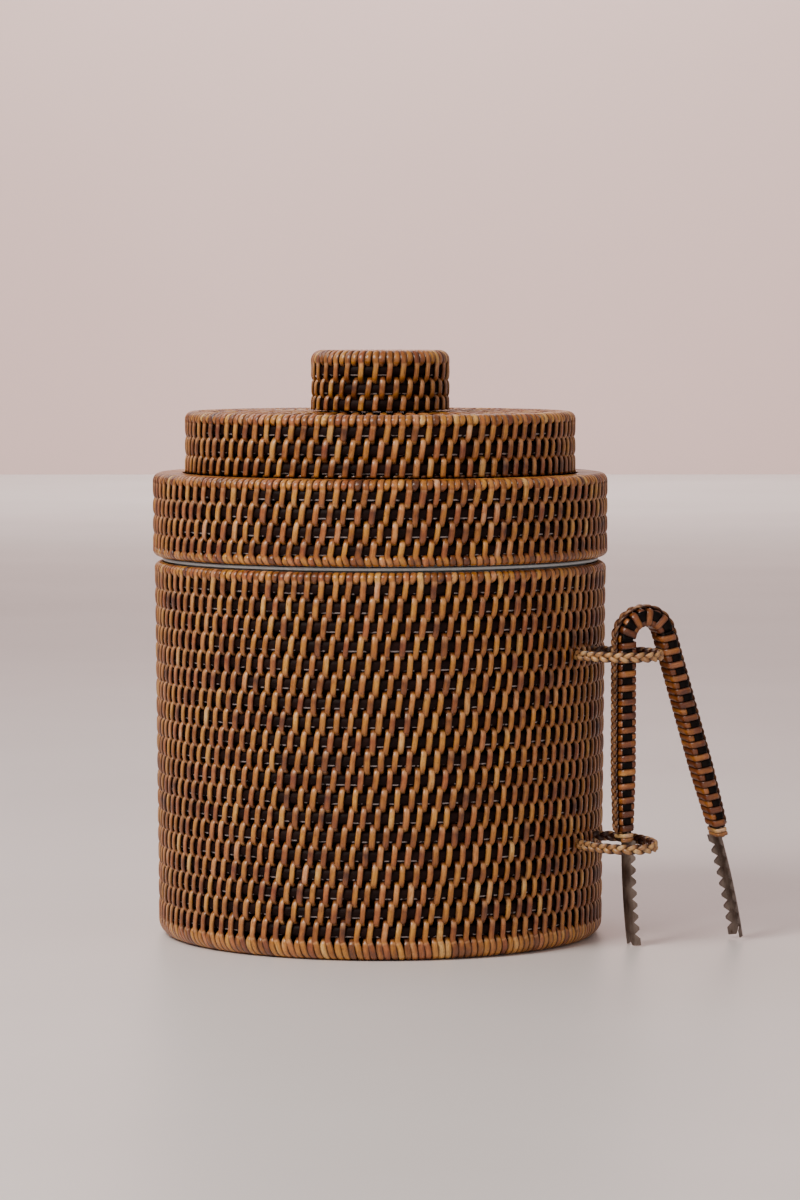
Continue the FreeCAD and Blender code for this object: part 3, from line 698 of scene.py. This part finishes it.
def rod_material(name, stack=None):
    """Black-brown core cane. Hoops in a stack, given by its top height and its pitch, have painted glints,
    pale spots along their lower edges that are a painted reflection."""
    m, tree, shader = material(name)
    n = Nodes(tree)
    place = n.place()
    streak = n.noise(n.stretch(place, (260, 260, 2600)), 1.0, 4.0, 0.6)
    broad = n.noise(place, 55.0, 3.0, 0.6)
    colour = n.mix(n.remap(streak, 0.3, 0.72, 0.0, 1.0), BLACK, BROWN)
    colour = n.mix(n.remap(broad, 0.45, 0.75, 0.0, 0.6), colour, [c * 2.0 for c in BROWN])
    if stack:
        top, pitch = stack
        axes = tree.nodes.new("ShaderNodeSeparateXYZ")
        tree.links.new(place, axes.inputs[0])
        rows = n.maths("MULTIPLY_ADD", axes.outputs[2], -1 / (pitch * MM), top / pitch + 0.5)
        below = n.maths("SUBTRACT", n.maths("FRACT", rows), 0.5)
        begins = n.remap(below, 0.175, 0.20, 0.0, 1.0)
        ends = n.remap(below, 0.245, 0.27, 1.0, 0.0)
        edge = n.maths("MULTIPLY", begins, ends)
        # painted glints: pale spots along each hoop's lower edge, a painted reflection
        glint_spots = n.remap(n.noise(place, 260.0, 2.0, 0.5), 0.52, 0.58, 0.0, 0.8)
        colour = n.mix(n.maths("MULTIPLY", edge, glint_spots), colour, (0.52, 0.46, 0.45))
    n.surface(shader, colour, n.remap(broad, 0.3, 0.7, 0.42, 0.6), streak, 0.45, 0.00025)
    shader.inputs["Specular IOR Level"].default_value = 0.08
    return m


plain_rod = rod_material("cane_rod")
rods_of = {"basket_wall_rods": (WALL_RODS[0], PITCH), "lid_skirt_rods": (SKIRT_RODS[0], SKIRT_PITCH),
           "lid_step_rods": (STEP_RODS[0], PITCH), "knob_rods": (KNOB_RODS[0], PITCH)}
DARK = [(0.0, (0.004, 0.003, 0.003)), (1.0, (0.013, 0.008, 0.006))]
dark_bound = cane("cane_dark", DARK, DARK, (0.016, 0.010, 0.009), (0.005, 0.003, 0.003),
                  rough=0.5, coat=0.0, stain_and_shade=(0.003, 0.002, 0.002))
dark_bound.node_tree.nodes["Principled BSDF"].inputs["Specular IOR Level"].default_value = 0.08


def plastic(name, colour, rough):
    """A moulded surface with a fine texture and faint clouds."""
    m, tree, shader = material(name)
    n = Nodes(tree)
    place = n.place()
    cloud = n.noise(place, 40.0, 3.0, 0.5)
    fine = n.noise(place, 1500.0, 2.0, 0.5)
    clouded = n.mix(n.remap(cloud, 0.35, 0.7, 0.0, 1.0), colour, [c * 0.93 for c in colour])
    n.surface(shader, clouded, n.remap(cloud, 0.3, 0.7, rough - 0.06, rough + 0.08), fine, 0.15, 0.0001)
    return m


# The liner is white plastic, painted a darker blue-grey as painted shade, for the shade that the lid casts
# on it.
shaded_white_plastic = plastic("liner_white_shaded", (0.545, 0.605, 0.625), 0.34)
foam = plastic("foam_cream", (0.72, 0.68, 0.58), 0.9)


def wood(name, low, high):
    """Upright grain, for the knob's core and the handle's padding."""
    m, tree, shader = material(name)
    n = Nodes(tree)
    grain = n.noise(n.stretch(n.place(), (220, 220, 14)), 1.0, 5.0, 0.6, 1.2)
    colour = n.mix(n.remap(grain, 0.3, 0.7, 0.0, 1.0), low, high)
    n.surface(shader, colour, n.remap(grain, 0.3, 0.7, 0.5, 0.7), grain, 0.3, 0.0003)
    return m


def shade_sheet_material(name, low, high):
    """A dark fibrous sheet, with crossing fibres pressed into it, used as painted shade behind an open
    weave.
    """
    m, tree, shader = material(name)
    n = Nodes(tree)
    place = n.place()
    upright = n.noise(n.stretch(place, (1500, 1500, 130)), 1.0, 3.0, 0.6)
    level = n.noise(n.stretch(place, (120, 120, 1600)), 1.0, 3.0, 0.6)
    fibre = n.maths("MAXIMUM", upright, level)
    colour = n.mix(n.remap(fibre, 0.4, 0.75, 0.0, 1.0), low, high)
    n.surface(shader, colour, n.remap(fibre, 0.3, 0.7, 0.95, 0.75), fibre, 0.5, 0.0003)
    shader.inputs["Specular IOR Level"].default_value = 0.1
    return m


painted_shade_sheet = shade_sheet_material("shade_sheet_dark", (0.0060, 0.0022, 0.0012), (0.030, 0.0105, 0.005))
core_wood = wood("core_dark", (0.012, 0.007, 0.005), (0.032, 0.018, 0.011))


def steel(name):
    """Old brushed steel with brown tarnish."""
    m, tree, shader = material(name)
    n = Nodes(tree)
    place = n.place()
    brushed = n.noise(n.stretch(place, (900, 900, 60)), 1.0, 4.0, 0.6)
    cloud = n.noise(place, 130.0, 4.0, 0.6)
    rust = n.noise(place, 420.0, 4.0, 0.65)
    colour = n.mix(n.remap(cloud, 0.35, 0.68, 0.0, 1.0), (0.105, 0.074, 0.058), (0.235, 0.185, 0.155))
    colour = n.mix(n.remap(rust, 0.58, 0.72, 0.0, 0.7), colour, (0.055, 0.026, 0.015))
    colour = n.mix(n.remap(brushed, 0.35, 0.7, 0.0, 0.4), colour, (0.30, 0.255, 0.225))
    n.surface(shader, colour, n.remap(cloud, 0.3, 0.7, 0.34, 0.56), brushed, 0.3, 0.0002)
    shader.inputs["Metallic"].default_value = 0.85
    return m


tong_steel = steel("tong_steel_aged")


def dress(piece, mat, slot, body, *replaced):
    """Gives a piece its material, the body that it rides on and the CAD nodes that it replaces. slot is not
    used.
    body is None for a piece of the bow, which lies between two bodies and rides on neither."""
    piece.data.materials.append(mat)
    if body:
        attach(piece, body)
    if replaced:
        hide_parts(*replaced)
    return piece


def paint(node, mat):
    """Gives a CAD node that stays visible its material."""
    data = nodes[node].data
    if not data.materials:
        data.materials.append(mat)
    for i in range(len(data.materials)):
        data.materials[i] = mat


def even_tone(samples, values):
    """The same tone at every sample of one strip."""
    return np.broadcast_to(np.array(values), (1, samples, 4))


SHADE_SHEET = 0.3            # thickness of the dark sheet of painted shade behind the weave


def add_shade_sheet(name, body, profile):
    """A thin dark sheet behind an open weave, painted shade that keeps the weave's gaps dark, turned about
    the axis from a profile of (radius, height) points."""
    corners = np.array(profile, float)
    s = np.concatenate([[0], np.cumsum(np.linalg.norm(np.diff(corners, axis=0), axis=1))])
    at = np.linspace(0, s[-1], int(s[-1] / 2.5) + 2)
    r, z = np.interp(at, s, corners[:, 0]), np.interp(at, s, corners[:, 1])
    tr, tz = np.gradient(r), np.gradient(z)
    size = np.hypot(tr, tz)
    outline_r = np.concatenate([r, (r - tz / size * SHADE_SHEET)[::-1]])
    outline_z = np.concatenate([z, (z + tr / size * SHADE_SHEET)[::-1]])
    theta = np.linspace(0, math.tau, 241)[:-1]
    middle = 80.0
    around = np.stack([middle * np.cos(theta), middle * np.sin(theta), 0 * theta], -1)
    outward = np.stack([np.cos(theta), np.sin(theta), 0 * theta], -1)
    ripple = 0.06 * np.sin(5 * theta) + 0.05 * np.sin(13 * theta + 1.0) + 0.03 * np.sin(31 * theta + 2.0)
    section = (-outline_z, outline_r - middle, np.minimum(1, outline_r / 40))
    tone = even_tone(len(theta), [0.5, 0.5, 0.5, 0.5])
    sheet = Sweeps()
    sheet.add(around[None], outward[None], 1.0, 1.0, ripple[None], tone, np.zeros((1, len(theta))),
              section=section, closed=True)
    dress(sheet.piece(name), painted_shade_sheet, "rattan_rod", body)


# ------------------------ basket
basket_path = [
    line((MOUTH + INSET, 161.4), (MOUTH + INSET, RIM_Z)),
    bend((MOUTH + RIM, RIM_Z), RIM - INSET, 180, 0),
    line((outer_radius(RIM_Z) - INSET, RIM_Z - 0.1), (outer_radius(FOOT) - INSET, FOOT)),
    bend((outer_radius(0) - FOOT, FOOT), FOOT - INSET, 0, -90),
    line((92.0, INSET), (86.4, INSET)),
]
data = weave(basket_path, WALL_RODS, 206, 0.004)
parts = [Sweeps() for _ in range(4)]
add_weave(parts, data)
covered = ("basket_outer_weave", "basket_inner_weave", "basket_rim_wrap", "basket_base_wrap")
for i, part in enumerate(parts):
    dress(part.piece(f"basket_strips_{i + 1}"), strip_cane, "rattan_strip", "basket", *covered)

BEHIND = 6.2           # from the wall's outer face in to the dark sheet of painted shade behind the weave
# a dark sheet behind the basket's weave, painted shade for its gaps
add_shade_sheet("basket_shade_sheet", "basket", [(outer_radius(7) - BEHIND, 7.0), (outer_radius(162) - BEHIND, 162.0)])
floor = Sweeps()
stitches(floor, FLOOR_Z, -1, FLOOR_RINGS, rise=1.85, number=50)
stitches(floor, FLOOR_Z, 1, FLOOR_RINGS, rise=2.0, number=90)
dress(floor.piece("basket_floor_strips"), strip_cane, "rattan_strip", "basket",
      "basket_floor_weave", "basket_floor_lining")

# Each loop's height, centre, half axes, and turn and tilt in degrees.
LOOPS = {"upper_loop": (127.5, (115.2, -6.0), (20.3, 14.4), -13.4, 1.0),
         "lower_loop": (45.4, (113.0, -4.2), (22.7, 13.4), -28.5, 3.0)}
for i, (name, numbers) in enumerate(LOOPS.items()):
    centre, across, out, along = loop_path(*numbers)
    cord = braid(Sweeps(), centre, across, out, along, number=20 + 9 * i, phase=1.1 * i)
    dress(cord.piece(name + "_plait"), braid_cane, "rattan_braid", "basket", name)

# ------------------------ lid
skirt_path = [
    line((87.3, 203.9), (SKIRT - CORNER, 203.94)),
    bend((SKIRT - CORNER, 201.0), CORNER - INSET, 90, 0),
    line((SKIRT - INSET, 200.9), (SKIRT - INSET, SKIRT_FOOT)),
    bend((SKIRT - RIM, SKIRT_FOOT), RIM - INSET, 0, -180),
    line((SKIRT - 2 * RIM + INSET, SKIRT_FOOT), (SKIRT - 2 * RIM + INSET, 172.0)),
]
data = weave(skirt_path, SKIRT_RODS, 206, 0.011, drift=0.2, lean=0.62, above=6.0, below=5.2)
skirt = Sweeps()
add_weave([skirt], data, number=31)
dress(skirt.piece("lid_skirt_strips"), strip_cane, "rattan_strip", "lid",
      "lid_skirt_weave", "lid_skirt_lining", "lid_rim_wrap", "lid_shoulder_weave")

# a dark sheet behind the lid's weave, painted shade for its gaps
add_shade_sheet("lid_shade_sheet", "lid", [(94.3, 170.0), (94.3, 201.2), (80.2, 201.8), (80.2, 225.9), (2.0, 225.9)])
step_path = [
    line((78.3, 228.6), (80.4, 230.9)),
    line((80.5, 230.94), (STEP - CORNER, 230.94)),
    bend((STEP - CORNER, 228.0), CORNER - INSET, 90, 0),
    line((STEP - INSET, 227.9), (STEP - INSET, 204.9)),
]
data = weave(step_path, STEP_RODS, 178, 0.02, drift=0.2, lean=0.62, above=6.0)
step = Sweeps()
add_weave([step], data, number=57)
stitches(step, 228.7, 1, [76.5 - PITCH * k for k in range(7)], number=130)
dress(step.piece("lid_step_strips"), strip_cane, "rattan_strip", "lid",
      "lid_step_weave", "lid_step_lining", "lid_top_weave")

knob_path = [
    line((19.6, 257.2), (21.2, 257.8)),
    line((21.3, 257.84), (KNOB - KNOB_CORNER, 257.84)),
    bend((KNOB - KNOB_CORNER, 254.0), KNOB_CORNER - INSET, 90, 0),
    line((KNOB - INSET, 253.9), (KNOB - INSET, 232.1)),
]
data = weave(knob_path, KNOB_RODS, 60, 0.03, step=0.8, drift=0.1,
             lean=0.45, edge_lean=0.6, wall_width=2.4, edge_width=3.05, above=6.0)
knob = Sweeps()
add_weave([knob], data, number=77)
stitches(knob, 256.9, 1, [15.2, 7.2], rise=0.86, spacing=3.4, reach=0.62, number=170, width=2.7)
dress(knob.piece("knob_strips"), strip_cane, "rattan_strip", "lid", "knob_weave")

# a small coil of cane closes the middle of the knob's top
button = Sweeps()
turn = np.linspace(0, 2.6 * math.tau, 150)
radius = 0.5 + turn / math.tau * 1.25
coil = np.stack([radius * np.cos(turn), radius * np.sin(turn), 257.75 + 0 * turn], -1)[None]
up = np.zeros_like(coil)
up[..., 2] = 1
button.add(coil, up, 1.3, 0.9, 0.2, even_tone(len(turn), [0.5, 0.4, 1.0, 0.6]), number=3)
dress(button.piece("knob_button"), strip_cane, "rattan_strip", "lid")

# ------------------------ tongs, put together
HIDDEN_TONE = [0.3, 0.5, 0.6, 0.5]


def padding(part, start, end):
    """The padded middle that the winding goes round, with the handle's taper."""
    s = np.linspace(start, end, max(2, int(abs(end - start) / 0.4)))
    o, v, _, _ = about_section(np.linspace(0, 1, 37)[:-1], inset=1.3)
    section = (-v, o, 0 * o) if end > start else (v[::-1], o[::-1], 0 * o)
    thinner, narrower = taper(s)
    part.add(handle_point(s, 0 * s, 0 * s)[None], handle_vector(s, 1 + 0 * s, 0 * s)[None], narrower[None],
             thinner[None], 0.0, even_tone(len(s), HIDDEN_TONE), section=section, number=8)
    return part


for name, body, start, end, bind_end in (
        ("inner_arm", "tongs", -0.1, IN_END, IN_END - BINDING),
        ("outer_arm", "tongs_outer_arm", BOW_LENGTH + 0.1, OUT_END, OUT_END + BINDING)):
    wrap = binding(Sweeps(), start, end, number=11 + len(name))
    dress(wrap.piece(name + "_winding"), bound_cane, "rattan_strip", body, name + "_wrap")
    padded = padding(Sweeps(), start, bind_end)
    dress(padded.piece(name + "_padding"), core_wood, "core_wood", body, name + "_core")
    tight = binding(Sweeps(), end, bind_end, pitch=1.9, width=1.8, smaller=0.2, weave_over=False, number=5)
    dress(tight.piece(name + "_end_winding"), braid_cane, "rattan_strip", body, name + "_binding")
    dark = Sweeps()
    for side in (-1, 1):
        dark_cane(dark, start, end, side, number=side + 2.0)
    dress(dark.piece(name + "_dark_canes"), dark_bound, "rattan_rod", body)
    plait = spine_braid(Sweeps(), start, end, number=40)
    dress(plait.piece(name + "_plait"), spine_cane, "rattan_braid", body, name + "_braid")


def bow_piece(part, name, mat, slot, *replaced):
    """A piece of the bow, which rides on no body and has its place baked into its points; the real bow
    bends as the tongs are squeezed.
    """
    piece = dress(part.piece(name), mat, slot, None, *replaced)
    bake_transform(piece)


wrap = binding(Sweeps(), 0.1, BOW_LENGTH - 0.1, number=2, width=3.05)
bow_piece(wrap, "bow_winding", bound_cane, "rattan_strip", "bow_wrap")
dark = Sweeps()
for side in (-1, 1):
    dark_cane(dark, -0.05, BOW_LENGTH + 0.05, side, number=side + 7.0)
bow_piece(dark, "bow_dark_canes", dark_bound, "rattan_rod")
plait = spine_braid(Sweeps(), -0.1, BOW_LENGTH + 0.1, number=44)
bow_piece(plait, "bow_plait", spine_cane, "rattan_braid", "bow_braid")
padded = padding(Sweeps(), 0.02, BOW_LENGTH - 0.02)
bow_piece(padded, "bow_padding", core_wood, "core_wood", "bow_core")
s = np.linspace(0.02, BOW_LENGTH - 0.02, 90)
steel_bow = Sweeps()
steel_section = (np.array([-4.4, -4.4, 4.4, 4.4]), np.array([-0.6, 0.6, 0.6, -0.6]), np.zeros(4))
steel_bow.add(handle_point(s, 0 * s, 0 * s)[None], handle_vector(s, 1 + 0 * s, 0 * s)[None], 1.0, 1.0, 0.0,
              even_tone(len(s), HIDDEN_TONE), s[None], section=steel_section, number=9)
bow_piece(steel_bow, "bow_steel", tong_steel, "tong_steel", "bow_strip")

# ------------------------ nodes that keep their CAD shape
for name in ("basket_wall_rods", "basket_rim_rod", "basket_base_rod", "basket_floor_rods", "lid_rim_rod",
             "lid_skirt_rods", "lid_shoulder_rod", "lid_step_rods", "lid_top_rod", "lid_top_rods",
             "knob_rods"):
    if name in rods_of:
        paint(name, rod_material("cane_" + name, rods_of[name]))
    else:
        paint(name, plain_rod)
for name in ("liner_inner_cup", "liner_outer_shell", "lid_pan", "lid_seat_ring"):
    paint(name, shaded_white_plastic)
for name in ("liner_insulation", "lid_insulation"):
    paint(name, foam)
paint("knob_core", core_wood)
for name in ("inner_arm_strip", "outer_arm_strip"):
    paint(name, tong_steel)

# ------------------------ floor, lights, camera, in metres
VIEW_FROM = math.radians(24.5)       # the camera's direction, from -Y towards +X
toward = np.array([math.sin(VIEW_FROM), -math.cos(VIEW_FROM)])
right = np.array([-toward[1], toward[0]])


def spot_at(forward, side, height):
    """A place forward of the object, towards the camera, and to the camera's right."""
    p = toward * forward + right * side
    return (float(p[0]), float(p[1]), height)


def cloudy(name, scale, detail, low, high, rough):
    """A matt surface with faint clouds between two colours."""
    m, tree, shader = material(name)
    n = Nodes(tree)
    cloud = n.noise(n.place(), scale, detail, 0.5)
    n.put(shader.inputs["Base Color"], n.mix(n.remap(cloud, 0.3, 0.7, 0.0, 1.0), low, high))
    shader.inputs["Roughness"].default_value = rough
    return m


def stage_plane(name, corners, mat):
    mesh = bpy.data.meshes.new(name)
    mesh.from_pydata(corners, [], [(0, 1, 2, 3)])
    mesh.materials.append(mat)
    plane = bpy.data.objects.new(name, mesh)
    bpy.context.scene.collection.objects.link(plane)


FLOOR_REACH = 10.0
BACKDROP_AT = -5.8                   # far enough back that the cameras of other views stay in front of it
BACKDROP_HALF = 6.0
BACKDROP_HEIGHT = 4.0
stage_plane("floor_plane", [(-FLOOR_REACH, -FLOOR_REACH, 0), (FLOOR_REACH, -FLOOR_REACH, 0),
                            (FLOOR_REACH, FLOOR_REACH, 0), (-FLOOR_REACH, FLOOR_REACH, 0)],
            cloudy("floor_pale", 3.0, 4.0, (0.74, 0.70, 0.69), (0.80, 0.765, 0.755), 0.42))
stage_plane("backdrop", [spot_at(BACKDROP_AT, -BACKDROP_HALF, 0), spot_at(BACKDROP_AT, BACKDROP_HALF, 0),
                         spot_at(BACKDROP_AT, BACKDROP_HALF, BACKDROP_HEIGHT),
                         spot_at(BACKDROP_AT, -BACKDROP_HALF, BACKDROP_HEIGHT)],
            cloudy("backdrop_pale", 2.0, 3.0, (0.90, 0.685, 0.645), (0.92, 0.705, 0.665), 0.9))


def area(name, position, target, size, power, colour):
    """A soft rectangular lamp that points at a target."""
    data = bpy.data.lights.new(name, "AREA")
    data.shape = "RECTANGLE"
    data.size, data.size_y = size
    data.energy = power
    data.color = colour
    lamp = bpy.data.objects.new(name, data)
    bpy.context.scene.collection.objects.link(lamp)
    lamp.location = position
    aim = np.array(target) - np.array(position)
    tilt = math.atan2(math.hypot(aim[0], aim[1]), -aim[2])
    lamp.rotation_euler = (tilt, 0, math.atan2(aim[1], aim[0]) - math.pi / 2)


area("key", spot_at(1.1, -1.05, 1.5), (0, 0, 0.12), (0.9, 0.9), 41, (1.0, 0.93, 0.86))
area("fill", spot_at(1.7, 1.0, 0.8), (0, 0, 0.12), (1.4, 1.2), 4, (1.0, 0.92, 0.86))
area("rear", spot_at(-0.9, -0.8, 1.3), (0, 0, 0.15), (1.2, 0.8), 6, (0.95, 0.96, 1.0))
area("wall_wash", spot_at(-4.6, 0.0, 2.4), spot_at(BACKDROP_AT, 0.0, 0.9), (2.5, 0.8), 80,
     (1.0, 0.95, 0.92))

world = bpy.data.worlds.new("studio")
world.use_nodes = True
background = world.node_tree.nodes["Background"]
background.inputs[0].default_value = (0.665, 0.565, 0.545, 1.0)
background.inputs[1].default_value = 0.6
bpy.context.scene.world = world

CAMERA_AWAY = 2.0
CAMERA_HEIGHT = 0.2735
LOOK_DOWN = math.radians(3.6)
LOOK_ASIDE = math.radians(0.25)
camera_data = bpy.data.cameras.new("camera")
camera_data.sensor_fit = "VERTICAL"
camera_data.sensor_height = 36.0
camera_data.lens = 135.6
camera_data.clip_end = 50
camera = bpy.data.objects.new("camera", camera_data)
bpy.context.scene.collection.objects.link(camera)
camera.location = spot_at(CAMERA_AWAY, 0.0, CAMERA_HEIGHT)
heading = math.atan2(-toward[1], -toward[0])
camera.rotation_euler = (math.pi / 2 - LOOK_DOWN, 0, heading - math.pi / 2 - LOOK_ASIDE)
bpy.context.scene.camera = camera
